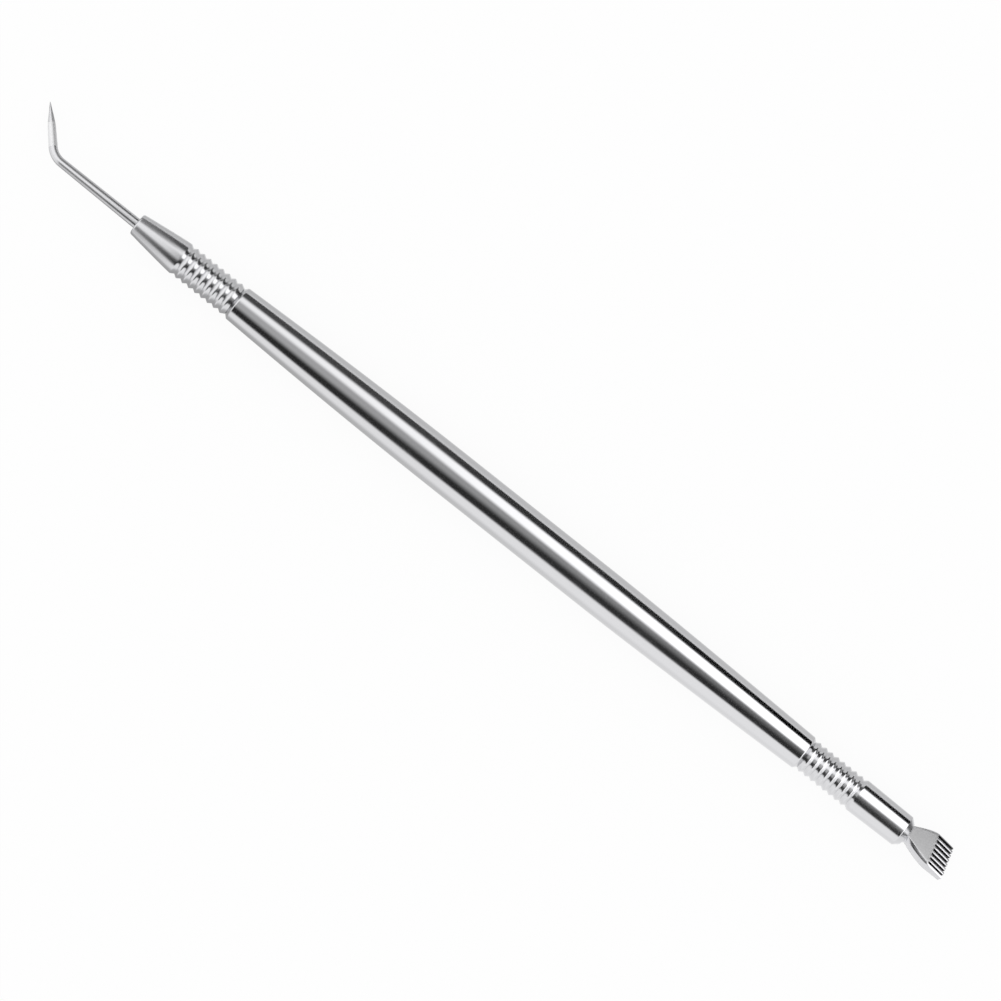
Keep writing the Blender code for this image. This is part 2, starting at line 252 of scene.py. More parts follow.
@dataclass(frozen=True)
class TurnedSteel:
    """Stainless steel, turned and then buffed on a wheel.

    Buffing leaves a bright mirror, crossed by the faint rings of the lathe and dulled a little by handling.
    The rings are really about 0.03 mm apart, too fine to show, and are drawn a few times coarser.
    """

    name: str
    tint: str = "#c9c9cb"
    gloss: float = 0.13
    smudge: float = 0.05
    smudge_width: float = 7 * MM
    smudge_detail: float = 4.0
    smudge_range: tuple[float, float] = (0.35, 0.7)
    ring_pitch: float = 0.11 * MM
    ring_detail: float = 3.0
    ring_depth: float = 0.0004 * MM

    def make(self, tool: Tool) -> bpy.types.Material:
        """Make the material, centred on the tool's axis.

        Args:
            tool: Where the axis is.

        Returns:
            The material.
        """
        material, shader, place = new_metal(self.name)
        tree = material.node_tree
        centred = add_node(
            tree, "ShaderNodeMapping", {"Location": -tool.centre}, {"Vector": place}
        ).outputs["Vector"]
        smudges = add_node(
            tree,
            "ShaderNodeTexNoise",
            {"Scale": 1 / self.smudge_width, "Detail": self.smudge_detail},
            {"Vector": centred},
        )
        roughness = (self.gloss, self.gloss + self.smudge)
        vary_gloss(tree, shader, smudges.outputs["Fac"], self.smudge_range, roughness)
        axes = add_node(tree, "ShaderNodeSeparateXYZ", links={"Vector": centred})
        rings = add_node(
            tree,
            "ShaderNodeMath",
            {".operation": "MULTIPLY", 1: 1 / self.ring_pitch},
            {0: axes.outputs["X"]},
        )
        lathe = add_node(
            tree,
            "ShaderNodeTexNoise",
            {".noise_dimensions": "1D", "Scale": 1.0, "Detail": self.ring_detail},
            {"W": rings.outputs["Value"]},
        )
        relief = add_node(
            tree,
            "ShaderNodeBump",
            {"Distance": self.ring_depth, "Strength": 1.0},
            {"Height": lathe.outputs["Fac"]},
        )
        tree.links.new(relief.outputs["Normal"], shader.inputs["Normal"])
        shader.inputs["Base Color"].default_value = linear(self.tint)
        return material


@dataclass(frozen=True)
class GroundSteel:
    """Stainless steel, ground flat or blasted.

    The grit leaves a soft grey satin with short, close scratches along the tool. Grit of about 0.02 mm is
    too fine to show, so the grain is drawn at a tenth of a millimetre.
    """

    name: str
    tint: str = "#b4b4b5"
    gloss: float = 0.36
    swing: float = 0.1
    grain: float = 0.1 * MM
    grain_detail: float = 3.0
    grain_range: tuple[float, float] = (0.3, 0.7)
    stretch: float = 3.0
    depth: float = 0.002 * MM
    patch: float = 1.2 * MM
    patch_detail: float = 2.0
    patch_tint: str = "#a9a9aa"

    def make(self, tool: Tool) -> bpy.types.Material:
        """Make the material, with its grain along the tool.

        Args:
            tool: Where the tool lies.

        Returns:
            The material.
        """
        material, shader, place = new_metal(self.name)
        tree = material.node_tree
        grained = add_node(
            tree,
            "ShaderNodeMapping",
            {"Location": -tool.centre, "Scale": (1 / self.stretch, 1, 1)},
            {"Vector": place},
        ).outputs["Vector"]
        grit = add_node(
            tree,
            "ShaderNodeTexNoise",
            {"Scale": 1 / self.grain, "Detail": self.grain_detail},
            {"Vector": grained},
        ).outputs["Fac"]
        relief = add_node(tree, "ShaderNodeBump", {"Distance": self.depth}, {"Height": grit})
        tree.links.new(relief.outputs["Normal"], shader.inputs["Normal"])
        vary_gloss(tree, shader, grit, self.grain_range, (self.gloss, self.gloss + self.swing))
        patches = add_node(
            tree,
            "ShaderNodeTexNoise",
            {"Scale": 1 / self.patch, "Detail": self.patch_detail},
            {"Vector": grained},
        ).outputs["Fac"]
        tint = add_node(tree, "ShaderNodeMix", {".data_type": "RGBA"}, {"Factor": patches})
        colours = [socket for socket in tint.inputs if socket.type == "RGBA"]
        colours[0].default_value = linear(self.tint)
        colours[1].default_value = linear(self.patch_tint)
        mixed = next(socket for socket in tint.outputs if socket.type == "RGBA")
        tree.links.new(mixed, shader.inputs["Base Color"])
        return material


# The barrel and the straight collar are buffed to a mirror, which shows the lights in crisp bands
BUFFED = TurnedSteel("stainless_steel_buffed")
# The rings are too narrow for the wheel, so their lathe marks are closer and they are a little duller
RIBBED = TurnedSteel("stainless_steel_turned_ribs", gloss=0.14, ring_pitch=0.07 * MM)
# The tapering collar keeps more of the lathe's marks, which blur its bands
CONE = TurnedSteel("stainless_steel_turned_satin", gloss=0.2, ring_depth=0.0012 * MM)
# Drawn wire has hardly any rings, and its gloss changes every few millimetres
WIRE = TurnedSteel("stainless_steel_drawn_wire", gloss=0.22, smudge_width=2 * MM, ring_depth=0.0001 * MM)
# The comb's face is blasted to an even grey satin without any bands
BLASTED = GroundSteel("stainless_steel_blasted")
# The needle's leg is honed, so it looks pale and its bands are blurred
HONED = GroundSteel(
    "stainless_steel_honed", tint="#e6e6e7", patch_tint="#dededf", gloss=0.5, swing=0.06, depth=0.0003 * MM
)
# The comb's rim and the tops of its teeth are ground bright, with soft bands
GROUND = GroundSteel(
    "stainless_steel_ground", tint="#cdcdcf", patch_tint="#c6c6c9", gloss=0.24, swing=0.06, depth=0.0006 * MM
)
# The walls of the slots keep the rough cut of the saw, and their dark tint is painted shade in the slots
SAWN_PAINTED_SHADE = GroundSteel(
    "stainless_steel_sawn_painted_shade", tint="#59595b", patch_tint="#4a4a4c", gloss=0.42, swing=0.1, depth=0.001 * MM
)


@dataclass
class Corner:
    """One corner of a turned profile: its place along the axis, its radius and how much is rounded off."""

    x: float
    radius: float
    rounding: float = 0.0


@dataclass
class Lathe:
    """Turns profiles about the tool's axis."""

    steps: int = 160
    arc_segments: int = 7
    hold: float = 1.6
    most_of_a_side: float = 0.45
    sharp: float = math.radians(40)

    def wire(self, corners: list[Corner]) -> bmesh.types.BMesh:
        """Draw a profile as a wire with its corners rounded.

        Each rounded corner is held by a point on either side, so that the shading of the long faces beside
        it stays flat.

        Args:
            corners: The profile, from one end on the axis to the other.

        Returns:
            A bmesh that holds the wire.
        """
        edit = bmesh.new()
        line, rounded = [], {}
        for index, corner in enumerate(corners):
            here = Vector((corner.x, corner.radius, 0))
            if not corner.rounding:
                line.append(edit.verts.new(here))
                continue
            sides = []
            for other in (corners[index - 1], corners[index + 1]):
                side = Vector((other.x, other.radius, 0)) - here
                length = min(corner.rounding * self.hold, side.length * self.most_of_a_side)
                sides.append(here + side.normalized() * length)
            line.append(edit.verts.new(sides[0]))
            line.append(edit.verts.new(here))
            rounded.setdefault(corner.rounding, []).append(line[-1])
            line.append(edit.verts.new(sides[1]))
        for near, far in zip(line, line[1:]):
            edit.edges.new((near, far))
        for rounding, group in rounded.items():
            bmesh.ops.bevel(
                edit,
                geom=group,
                offset=rounding,
                offset_type="OFFSET",
                segments=self.arc_segments,
                profile=0.5,
                affect="VERTICES",
                clamp_overlap=True,
                material=-1,
            )
        return edit

    def turn(self, corners: list[Corner]) -> bmesh.types.BMesh:
        """Turn a profile to a closed solid.

        Args:
            corners: The profile, from one end on the axis to the other.

        Returns:
            A bmesh of the solid, about the X axis.
        """
        edit = self.wire(corners)
        bmesh.ops.spin(
            edit,
            geom=edit.verts[:] + edit.edges[:],
            cent=(0, 0, 0),
            axis=ALONG,
            angle=FULL_TURN,
            steps=self.steps,
            use_merge=True,
        )
        bmesh.ops.remove_doubles(edit, verts=edit.verts, dist=WELD)
        bmesh.ops.recalc_face_normals(edit, faces=edit.faces)
        return edit

    def piece(self, edit: bmesh.types.BMesh, name: str, place: Matrix) -> bpy.types.Object:
        """Make an object of a bmesh, at its place in the world."""
        return finished(edit, name, place, self.sharp)


def finished(edit: bmesh.types.BMesh, name: str, place: Matrix, sharp: float) -> bpy.types.Object:
    """Make an object of a bmesh, with its place in its mesh.

    Args:
        edit: The bmesh, which is freed.
        name: The object's name.
        place: Matrix from the piece's own space to the world.
        sharp: The angle past which an edge is shaded sharp.

    Returns:
        The object, at the origin.
    """
    bmesh.ops.transform(edit, matrix=place, verts=edit.verts)
    if place.determinant() < 0:
        bmesh.ops.recalc_face_normals(edit, faces=edit.faces)
    piece = add_object(edit, name)
    piece.data.shade_smooth()
    piece.data.set_sharp_from_angle(angle=sharp)
    return piece


def dress(piece: bpy.types.Object, node: str, slot: Slot, materials: Iterable[bpy.types.Material]) -> None:
    """Give a piece its materials, let it ride on the frame and let it stand for its node.

    Args:
        piece: The finished piece.
        node: The CAD node that it replaces.
        slot: The record's slot that its finish comes from; it is not used.
        materials: Its materials, in the order of its faces' numbers.
    """
    for material in materials:
        piece.data.materials.append(material)
    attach(piece, "root")
    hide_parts(node)
    LOG.info("%s: %d faces, stands for %s", piece.name, len(piece.data.polygons), node)


@dataclass(frozen=True)
class Swell:
    """How one half of the barrel thins towards its end: where it starts and how fast it goes."""

    start: float
    power: float


@dataclass
class Barrel:
    """The handle: a spindle with a straight middle, bored at each end for a ferrule's spigot."""

    tool: Tool
    lathe: Lathe
    end_radius: float = 2.6 * MM
    reach_past_node: float = 0.17 * MM
    chamfer: float = 0.5 * MM
    edge: float = 0.1 * MM
    bore_radius: float = 1.32 * MM
    bore_depth: float = 8.2 * MM
    stations: int = 26
    pick_swell: Swell = Swell(12 * MM, 1.9)
    comb_swell: Swell = Swell(14 * MM, 1.42)

    @property
    def end(self) -> float:
        """Half the barrel's length, closed up to the ferrules."""
        return self.tool.reach + self.reach_past_node

    def side(self, swell: Swell) -> list[Corner]:
        """The outside of one half, from its end to the middle.

        Args:
            swell: The half's own swell.

        Returns:
            The corners of its profile.
        """
        start, middle = self.end - self.chamfer, swell.start
        drop = self.tool.radius - self.end_radius
        points = [
            Corner(self.end, self.end_radius - self.chamfer),
            Corner(start, self.end_radius, self.edge),
        ]
        for step in range(1, self.stations + 1):
            share = 1 - step / self.stations
            x = middle + (start - middle) * share
            points.append(Corner(x, self.tool.radius - drop * share**swell.power))
        return points

    def half(self, swell: Swell) -> list[Corner]:
        """One half's whole profile, from the floor of its bore to the middle.

        Args:
            swell: The half's own swell.

        Returns:
            The corners of its profile.
        """
        floor = self.end - self.bore_depth
        bore = [Corner(floor, 0), Corner(floor, self.bore_radius), Corner(self.end, self.bore_radius)]
        return bore + self.side(swell)

    def build(self) -> bpy.types.Object:
        """Turn the barrel, its front half and then its rear half.

        Returns:
            The finished piece.
        """
        front, rear = self.half(self.comb_swell), self.half(self.pick_swell)
        rear = [Corner(-corner.x, corner.radius, corner.rounding) for corner in reversed(rear)]
        return self.lathe.piece(self.lathe.turn(front + rear), "turned_barrel", self.tool.level)

    def dress(self, piece: bpy.types.Object) -> None:
        """Finish the barrel in buffed steel."""
        dress(piece, "handle_barrel", Slot.POLISHED, [BUFFED.make(self.tool)])


@dataclass
class Ferrule:
    """A ferrule: a spigot, a neck of eight turned rings and a collar.

    It is built with its collar towards +X and then pointed out of its end of the barrel.
    """

    tool: Tool
    lathe: Lathe
    barrel: Barrel
    end: End
    node: str
    name: str
    pitch: float
    neck_radius: float
    collar_length: float
    mouth_radius: float
    collar_finish: TurnedSteel
    neck_finish: TurnedSteel = RIBBED
    rings: int = 8
    first_ring: float = 0.84 * MM
    flank: float = math.radians(34)
    crest_radius: float = 0.15 * MM
    root_radius: float = 0.05 * MM
    collar_edge: float = 0.12 * MM
    spigot_radius: float = 1.3 * MM
    spigot_length: float = 7.9 * MM
    spigot_edge: float = 0.2 * MM
    bore_depth: float = 7.0 * MM

    @property
    def shoulder(self) -> float:
        """Where the neck starts, from the middle of the barrel."""
        return self.barrel.end

    @property
    def collar_start(self) -> float:
        """Where the collar starts, half a pitch past the last groove."""
        return self.tool.reach + self.first_ring + self.rings * self.pitch

    @property
    def mouth(self) -> float:
        """Where the collar ends."""
        return self.collar_start + self.collar_length

    def spigot(self) -> list[Corner]:
        """The spigot, from its end on the axis to the shoulder."""
        start = self.shoulder - self.spigot_length
        return [
            Corner(start, 0),
            Corner(start, self.spigot_radius - self.spigot_edge),
            Corner(start + self.spigot_edge, self.spigot_radius),
            Corner(self.shoulder, self.spigot_radius),
        ]

    def neck(self) -> list[Corner]:
        """The rings, from the shoulder to the last groove.

        They are a zigzag with round crests and roots. Its peaks stand just so far above the neck's radius
        that the rounded crests reach it.

        Returns:
            The corners of the zigzag.
        """
        peak = self.neck_radius + self.crest_radius * (1 / math.cos(self.flank) - 1)
        root = peak - self.pitch / 2 * math.tan(self.flank)
        points = [Corner(self.shoulder, root)]
        first = self.tool.reach + self.first_ring
        for ring in range(self.rings):
            middle = first + ring * self.pitch
            points.append(Corner(middle, peak, self.crest_radius * math.tan(self.flank)))
            points.append(Corner(middle + self.pitch / 2, root, self.root_radius * math.tan(self.flank)))
        return points

    def collar(self) -> list[Corner]:
        """The collar's outside, from the last groove to the mouth."""
        raise NotImplementedError

    def bore(self) -> list[Corner]:
        """The bore that the working end sits in, from the mouth to its floor on the axis."""
        floor = self.mouth - self.bore_depth
        return [Corner(self.mouth, self.mouth_radius), Corner(floor, self.mouth_radius), Corner(floor, 0)]

    def build(self) -> bpy.types.Object:
        """Turn the ferrule and point it out of its end of the barrel.

        Returns:
            The finished piece.
        """
        edit = self.lathe.turn(self.spigot() + self.neck() + self.collar() + self.bore())
        for face in edit.faces:
            face.material_index = int(face.calc_center_median().x > self.collar_start - self.collar_edge)
        facing = Matrix.Rotation(HALF_TURN if self.end is End.PICK else 0, 4, "Z")
        return self.lathe.piece(edit, self.name, self.tool.level @ facing)

    def dress(self, piece: bpy.types.Object) -> None:
        """Finish the ferrule."""
        finishes = [self.neck_finish.make(self.tool), self.collar_finish.make(self.tool)]
        dress(piece, self.node, Slot.POLISHED, finishes)


@dataclass
class PickFerrule(Ferrule):
    """The rear ferrule, whose collar tapers to a rounded nose round the needle."""

    end: End = End.PICK
    node: str = "pick_ferrule"
    name: str = "tapered_ferrule"
    pitch: float = 1.08 * MM
    neck_radius: float = 2.5 * MM
    collar_length: float = 7.62 * MM
    mouth_radius: float = 0.42 * MM
    collar_finish: TurnedSteel = CONE
    nose_radius: float = 1.6 * MM
    nose_rounding: float = 0.5 * MM
    taper_power: float = 1.12
    taper_points: int = 14

    def collar(self) -> list[Corner]:
        """The tapering collar, from the last groove to the nose.

        Returns:
            The corners of its profile.
        """
        drop = self.neck_radius - self.nose_radius
        points = [Corner(self.collar_start, self.neck_radius, self.collar_edge)]
        for step in range(1, self.taper_points):
            share = step / self.taper_points
            x = self.collar_start + self.collar_length * share
            points.append(Corner(x, self.neck_radius - drop * share**self.taper_power))
        return points + [Corner(self.mouth, self.nose_radius, self.nose_rounding)]


@dataclass
class CombFerrule(Ferrule):
    """The front ferrule, whose collar is nearly straight and ends in a wide chamfer."""

    end: End = End.COMB
    node: str = "comb_ferrule"
    name: str = "straight_ferrule"
    pitch: float = 1.03 * MM
    neck_radius: float = 2.45 * MM
    collar_length: float = 8.58 * MM
    mouth_radius: float = 1.02 * MM
    collar_finish: TurnedSteel = BUFFED
    first_ring: float = 0.73 * MM
    collar_radius: float = 2.5 * MM
    end_radius: float = 2.37 * MM
    chamfer: float = 0.69 * MM
    chamfer_length: float = 0.78 * MM
    edge: float = 0.05 * MM
    mouth_edge: float = 0.0125 * MM

    def collar(self) -> list[Corner]:
        """The straight collar, from the last groove to its flat end."""
        return [
            Corner(self.collar_start, self.collar_radius, self.collar_edge),
            Corner(self.mouth - self.chamfer_length, self.end_radius, self.edge),
            Corner(self.mouth, self.end_radius - self.chamfer, self.mouth_edge),
        ]


@dataclass
class Needle:
    """The pick: a wire needle, turned straight, sharpened, and then bent once round a former."""

    tool: Tool
    lathe: Lathe
    nose: float
    tang_radius: float = 0.4 * MM
    tang_length: float = 6.5 * MM
    root_radius: float = 0.77 * MM
    bend_radius: float = 0.63 * MM
    leg_radius: float = 0.55 * MM
    point_radius: float = 0.03 * MM
    reach: float = 14.5 * MM
    curve_radius: float = 3.0 * MM
    leg_length: float = 8.28 * MM
    bend: float = math.radians(49.7)
    cant: float = math.radians(0.6)
    leg_share: float = 0.52
    stations: int = 28

    @property
    def tangent(self) -> float:
        """From the corner of the bend to where the curve starts."""
        return self.curve_radius * math.tan(self.bend / 2)

    @property
    def curve_start(self) -> float:
        """Where the curve starts, along the needle from the nose."""
        return self.reach - self.tangent

    @property
    def curve_end(self) -> float:
        """Where the curve ends, along the needle from the nose."""
        return self.curve_start + self.curve_radius * self.bend

    @property
    def length(self) -> float:
        """The whole length along the needle, from the nose to its point."""
        return self.curve_end + self.leg_length - self.tangent

    @property
    def taper(self) -> float:
        """Where the point's long taper starts, along the needle from the nose."""
        return self.curve_end + (self.length - self.curve_end) * self.leg_share

    def corners(self) -> list[Corner]:
        """The straight needle's profile, towards +X.

        Returns:
            Its corners, from its tang to its point.
        """
        points = [
            Corner(-self.tang_length, 0),
            Corner(-self.tang_length, self.tang_radius),
            Corner(0, self.tang_radius),
            Corner(0, self.root_radius),
        ]
        for step in range(self.stations + 1):
            x = self.curve_start + (self.curve_end - self.curve_start) * step / self.stations
            points.append(Corner(x, between((self.root_radius, self.bend_radius), x / self.curve_end)))
        points.append(Corner(self.taper, self.leg_radius, self.leg_radius))
        points.append(Corner(self.length, self.point_radius))
        points.append(Corner(self.length, 0))
        return points

    def build(self) -> bpy.types.Object:
        """Turn the needle straight and bend it station by station, from the far end of the curve.

        Returns:
            The finished piece.
        """
        edit = self.lathe.turn(self.corners())
        for face in edit.faces:
            face.material_index = int(self.curve_end < face.calc_center_median().x < self.taper)
        step_angle = self.bend / self.stations
        step_length = (self.curve_end - self.curve_start) / self.stations
        verts = sorted(edit.verts, key=lambda vert: vert.co.x)
        places = [vert.co.x for vert in verts]
        for station in range(self.stations, 0, -1):
            edge = self.curve_start + (station - 0.5) * step_length
            beyond = [vert for vert, place in zip(verts, places) if place > edge]
            bmesh.ops.rotate(
                edit, cent=(edge, 0, 0), matrix=Matrix.Rotation(step_angle, 3, "Z"), verts=beyond
            )
        outwards = Matrix.Diagonal((-1, 1, 1, 1)) @ Matrix.Rotation(self.cant, 4, "Z")
        place = self.tool.rolled @ Matrix.Translation((-self.nose, 0, 0)) @ outwards
        return self.lathe.piece(edit, "bent_needle", place)

    def dress(self, piece: bpy.types.Object) -> None:
        """Finish the needle in drawn wire, with its leg honed."""
        dress(piece, "pick_needle", Slot.POLISHED, [WIRE.make(self.tool), HONED.make(self.tool)])


@dataclass
class Comb:
    """The comb: a flared plate with a ground rim and eight teeth, on a short stem with a tang.

    Its own space has X along the tool from the face of the collar, Y across the teeth and Z up from the
    tool's axis towards the face.
    """

    tool: Tool
    lathe: Lathe
    mouth: float
    face_height: float = 1.2 * MM
    back_depth: float = 0.62 * MM
    half_width: float = 2.48 * MM
    root_half_width: float = 1.0 * MM
    root_face_half_width: float = 0.8 * MM
    flare_power: float = 1.5
    rear_rim: float = 0.12 * MM
    off_axis: float = 0.12 * MM
    rim_drop: float = 0.15 * MM
    root_rim_drop: float = 0.4 * MM
    root_rim_power: int = 3
    front_rim_drop: float = 0.07 * MM
    front_rim_power: float = 8.0
    flank_lean: float = 0.13 * MM
    teeth: int = 8
    slot_pitch: float = 0.69 * MM
    slot_width: float = 0.34 * MM
    slot_reach: float = 4.0 * MM
    tip_reach: float = 6.89 * MM
    slant: float = math.radians(12.5)
    tooth_bevel: float = math.radians(11.5)
    tip_lean: float = math.radians(13)
    edge: float = 0.018 * MM
    edge_segments: int = 2
    flare_stations: int = 14
    tooth_stations: int = 6
    tang_length: float = 6.5 * MM
    tang_radius: float = 1.0 * MM
    seat_depth: float = 0.05 * MM
    seat_radius: float = 1.45 * MM
    neck_reach: float = 0.25 * MM
    neck_radius: float = 1.15 * MM
    neck_rounding: float = 0.15 * MM
    stem_reach: float = 2.7 * MM
    stem_tip_radius: float = 0.5 * MM
    sharp: float = math.radians(28)
    wall_facing: float = 0.8
    root_facing: float = 0.7
    top_facing: float = 0.5

    def outline(self, share: float) -> float:
        """Half the head's width, at a share of the way from the collar to the slots."""
        swell = 1 - (1 - share) ** self.flare_power
        return between((self.root_half_width, self.half_width), swell)

    def rows(self) -> list[float]:
        """The places across the full head where a tooth or a slot ends.

        Returns:
            Their places, from -Y to +Y.
        """
        half_slot = self.slot_width / 2
        rows = []
        for slot in range(self.teeth - 1):
            middle = (slot - (self.teeth - 2) / 2) * self.slot_pitch
            rows += [middle - half_slot, middle + half_slot]
        return [-self.half_width] + rows + [self.half_width]

    def point(self, column: int, row: int) -> Vector:
        """A place on the top of the head.

        The outline swells from the stem. The face reaches almost to it at the rear, while in front its edge
        is straight, so that the rim there is widest halfway.

        Args:
            column: The station along the head, counted from the collar.
            row: The row across the head.

        Returns:
            The point, in the comb's own space.
        """
        rows, lean = self.rows(), math.tan(self.slant)
        outer = row in (0, len(rows) - 1)
        drop = self.rim_drop if outer else 0.0
        share = min(column / self.flare_stations, 1.0)
        if outer:
            if row == 0:
                drop += self.root_rim_drop * (1 - share) ** self.root_rim_power
                drop += self.front_rim_drop * (1 - share**self.front_rim_power)
            y = math.copysign(self.outline(share), rows[row])
        else:
            front = between((self.root_face_half_width, rows[-2]), share)
            rim = between((self.rear_rim, self.half_width - rows[-2]), share)
            across = (rows[row] / rows[-2] + 1) / 2
            y = -front + (self.outline(share) - rim + front) * across
        if column <= self.flare_stations:
            return Vector((self.slot_reach * share - y * lean * share, y, self.face_height - drop))
        share = (column - self.flare_stations) / self.tooth_stations
        run = (self.tip_reach - self.slot_reach) * share
        fall = run * math.tan(self.tooth_bevel)
        back = (fall + drop) * math.tan(self.tip_lean) * share
        return Vector((self.slot_reach + run - y * lean - back, y, self.face_height - drop - fall))

    def plate(self) -> bmesh.types.BMesh:
        """The top of the head, as a grid with its slots taken out and its rim lowered.

        Returns:
            The open plate.
        """
        last = len(self.rows()) - 1
        columns = self.flare_stations + self.tooth_stations
        edit = bmesh.new()
        made = bmesh.ops.create_grid(edit, x_segments=columns, y_segments=last, size=1)
        grid = {}
        for vert in made["verts"]:
            place = (vert.co + Vector((1, 1, 0))) / 2
            grid[vert] = (round(place.x * columns), round(place.y * last))
        for vert, (column, row) in grid.items():
            vert.co = self.point(column, row)
        slots = []
        for face in edit.faces:
            column = min(grid[vert][0] for vert in face.verts)
            row = min(grid[vert][1] for vert in face.verts)
            in_teeth = column >= self.flare_stations
            if in_teeth and row % 2 == 1:
                slots.append(face)
            face.material_index = Finish.GROUND if in_teeth or row in (0, last - 1) else Finish.BLASTED
        bmesh.ops.delete(edit, geom=slots, context="FACES")
        return edit

    def reach(self, place: Vector) -> float:
        """How far out a place is, measured along the tool from the middle of the slanted lines."""
        return place.x + place.y * math.tan(self.slant)

    def is_outer(self, place: Vector) -> bool:
        """Whether a place on the top of the head is on its outline."""
        share = min(max(self.reach(place) / self.slot_reach, 0.0), 1.0)
        return abs(place.y) > self.outline(share) - self.rear_rim / 2

    def thicken(self, edit: bmesh.types.BMesh) -> None:
        """Give the plate its thickness, with its flanks and tips leaning in and its underside flat.

        Args:
            edit: The open plate.
        """
        made = bmesh.ops.extrude_face_region(edit, geom=edit.faces[:])
        under = [item for item in made["geom"] if isinstance(item, bmesh.types.BMVert)]
        rims = {vert for vert in under if self.is_outer(vert.co)}
        for vert in under:
            reach = self.reach(vert.co)
            share = min(max((reach - self.slot_reach) / (self.tip_reach - self.slot_reach), 0.0), 1.0)
            vert.co.x -= (vert.co.z + self.back_depth) * math.tan(self.tip_lean) * share
            if vert in rims:
                vert.co.y -= math.copysign(self.flank_lean, vert.co.y)
            vert.co.z = -self.back_depth
        bmesh.ops.recalc_face_normals(edit, faces=edit.faces)
        limit = self.rows()[-2] + self.edge
        for face in edit.faces:
            centre = face.calc_center_median()
            in_teeth = self.reach(centre) > self.slot_reach - self.edge
            wall = abs(face.normal.y) > self.wall_facing and abs(centre.y) < limit
            root = face.normal.x > self.root_facing and self.reach(centre) < self.slot_reach + self.edge
            # The walls and roots of the slots take the sawn finish, whose dark tint is painted shade
            if in_teeth and (wall or root):
                face.material_index = Finish.SAWN_PAINTED_SHADE
            elif face.normal.z < self.top_facing:
                face.material_index = Finish.GROUND

    def soften(self, edit: bmesh.types.BMesh) -> None:
        """Take the edge off every corner, as a light polish does.

        Args:
            edit: The closed head.
        """
        edges = [edge for edge in edit.edges if edge.calc_face_angle(0) > self.sharp]
        bmesh.ops.bevel(
            edit,
            geom=edges,
            offset=self.edge,
            offset_type="OFFSET",
            segments=self.edge_segments,
            profile=0.5,
            affect="EDGES",
            clamp_overlap=True,
            material=-1,
        )

    def stem(self) -> list[Corner]:
        """The stem's profile: a tang in the collar, a shoulder on its face and a cone into the plate."""
        return [
            Corner(-self.tang_length, 0),
            Corner(-self.tang_length, self.tang_radius),
            Corner(-self.seat_depth, self.tang_radius),
            Corner(-self.seat_depth, self.seat_radius),
            Corner(self.neck_reach, self.neck_radius, self.neck_rounding),
            Corner(self.stem_reach, self.stem_tip_radius),
            Corner(self.stem_reach, 0),
        ]

    def add_stem(self, edit: bmesh.types.BMesh) -> None:
        """Add the round stem, which runs from the tang in the collar into the plate.

        Args:
            edit: The closed head.
        """
        stem = self.lathe.turn(self.stem())
        for face in stem.faces:
            face.material_index = Finish.GROUND
        mesh = bpy.data.meshes.new("stem")
        stem.to_mesh(mesh)
        stem.free()
        edit.from_mesh(mesh)
        bpy.data.meshes.remove(mesh)

    def build(self) -> bpy.types.Object:
        """Build the comb's head and stem.

        Returns:
            The finished piece.
        """
        edit = self.plate()
        self.thicken(edit)
        self.soften(edit)
        bmesh.ops.translate(edit, vec=(0, self.off_axis, 0), verts=edit.verts)
        self.add_stem(edit)
        place = self.tool.rolled @ Matrix.Translation((self.mouth, 0, 0))
        return finished(edit, "flared_comb", place, self.sharp)

    def dress(self, piece: bpy.types.Object) -> None:
        """Finish the face in blasted steel, the slots as sawn steel darkened with painted shade, and the
        rest ground.
        """
        finishes = (BLASTED, GROUND, SAWN_PAINTED_SHADE)
        dress(piece, "comb_blade", Slot.SATIN, [finish.make(self.tool) for finish in finishes])


@dataclass(frozen=True)
class Card:
    """One card, flag or soft box of the light tent over the tool.

    Its edges are angles in degrees from straight up, positive towards +Y, at the two ends of the tool,
    because the cards hang at a slight slant. Its strengths are the light that it sends from there, where 1
    is white. Its span is its reach along the tool, and each softness is the width over which an edge fades.
    """

    name: str
    pick_edges: tuple[float, float]
    comb_edges: tuple[float, float]
    pick_strength: float
    comb_strength: float
    pick_softness: tuple[float, float] = (4.0, 4.0)
    comb_softness: tuple[float, float] = (4.0, 4.0)
    span: tuple[float, float] = (-1.0, 1.0)
    span_softness: float = 0.018


CARDS = (
    Card("soft_box", (-30, 66), (-30, 66), 1.4, 2.0, (14, 6), (14, 6)),
    Card("top_panel", (-56, 19), (-36, 9), 0.6, 0.24, (8, 22), (8, 13), (-0.0735, 0.0755), 0.006),
    Card("far_flag", (74, 91), (74, 91), 0.1, 0.1, (8, 1), (8, 1)),
    Card("rear_flag", (50, 91), (59.5, 91), 0.09, 0.0, (20, 1), (7, 1), (-0.089, 0.09), 0.01),
    Card("front_flag", (-62, -21), (-45.5, -11), 0.03, 0.04, (15, 28), (11, 30), (-0.09, 0.083), 0.008),
    Card("end_flag", (34, 62), (34, 62), 0.3, 0.3, (14, 12), (14, 12), (-0.0935, -0.0735), 0.009),
    Card("end_rear", (62, 91), (62, 91), 0.35, 0.35, (12, 1), (12, 1), (-0.0935, -0.078), 0.012),
    Card("end_light", (-101, -54), (-101, -54), 0.8, 0.8, (1, 15), (1, 15), (-0.0935, -0.0735), 0.012),
    Card("end_wash", (-54, -17), (-54, -17), 0.3, 0.3, (15, 24), (15, 24), (-0.0935, -0.077), 0.008),
)


@dataclass(frozen=True)
class Board:
    """A reflector on the floor at one side of the tool.

    Its strengths are beside the tool, where the tool shades it, and far out, at each end of the tool, and
    then beyond the tool's ends.
    """

    name: str
    side: int
    pick_strengths: tuple[float, float]
    comb_strengths: tuple[float, float]
    beyond: float


